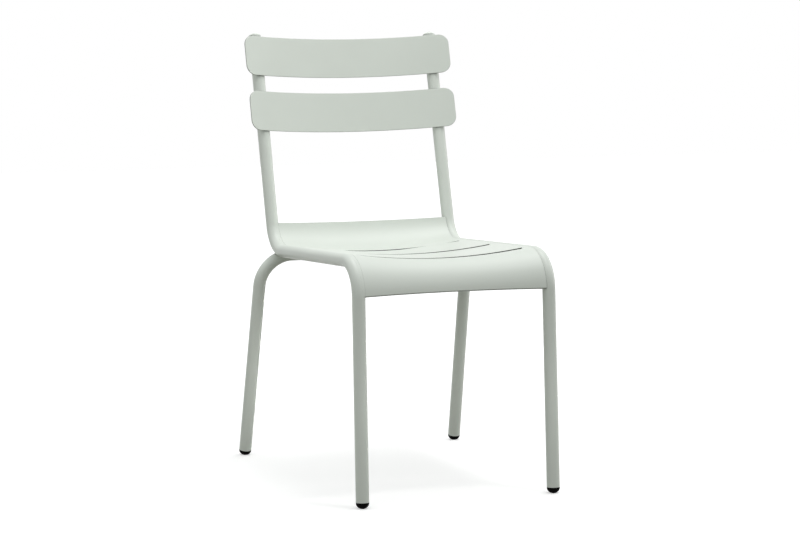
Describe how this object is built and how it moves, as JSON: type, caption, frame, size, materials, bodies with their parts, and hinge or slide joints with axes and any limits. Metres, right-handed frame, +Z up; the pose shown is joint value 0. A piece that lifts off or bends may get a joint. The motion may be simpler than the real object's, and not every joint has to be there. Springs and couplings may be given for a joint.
{
  "type": "stacking side chair",
  "caption": "Armless stacking chair of bent painted steel tube with a dished, slitted sheet seat, bowed back slats and black push-in foot glides.",
  "frame": {"origin": "on the floor, in the middle of the chair's footprint box", "axes": "+Z up, +Y to the rear, the sitter faces -Y, +X to the right seen from the front"},
  "size_m": [0.4886, 0.6509, 0.8588],
  "materials": {
    "tube_coat": "satin powder coat",
    "sheet_coat": "satin powder coat",
    "weld_coat": "satin powder coat over weld bead",
    "glide_polymer": "moulded, matt"
  },
  "bodies": {
    "root": {"side_frame_left": "tube_coat", "side_frame_right": "tube_coat", "rear_leg_hoop": "tube_coat", "post_cap_left": "tube_coat", "post_cap_right": "tube_coat", "seat_pan": "sheet_coat", "back_slat_upper": "sheet_coat", "back_slat_lower": "sheet_coat", "seat_stitch_welds_left": "weld_coat", "hoop_weld_left": "weld_coat", "slat_weld_upper_left": "weld_coat", "slat_weld_lower_left": "weld_coat", "seat_stitch_welds_right": "weld_coat", "hoop_weld_right": "weld_coat", "slat_weld_upper_right": "weld_coat", "slat_weld_lower_right": "weld_coat", "glide_front_left": "glide_polymer", "glide_front_right": "glide_polymer", "glide_rear_left": "glide_polymer", "glide_rear_right": "glide_polymer"}
  },
  "joints": []
}
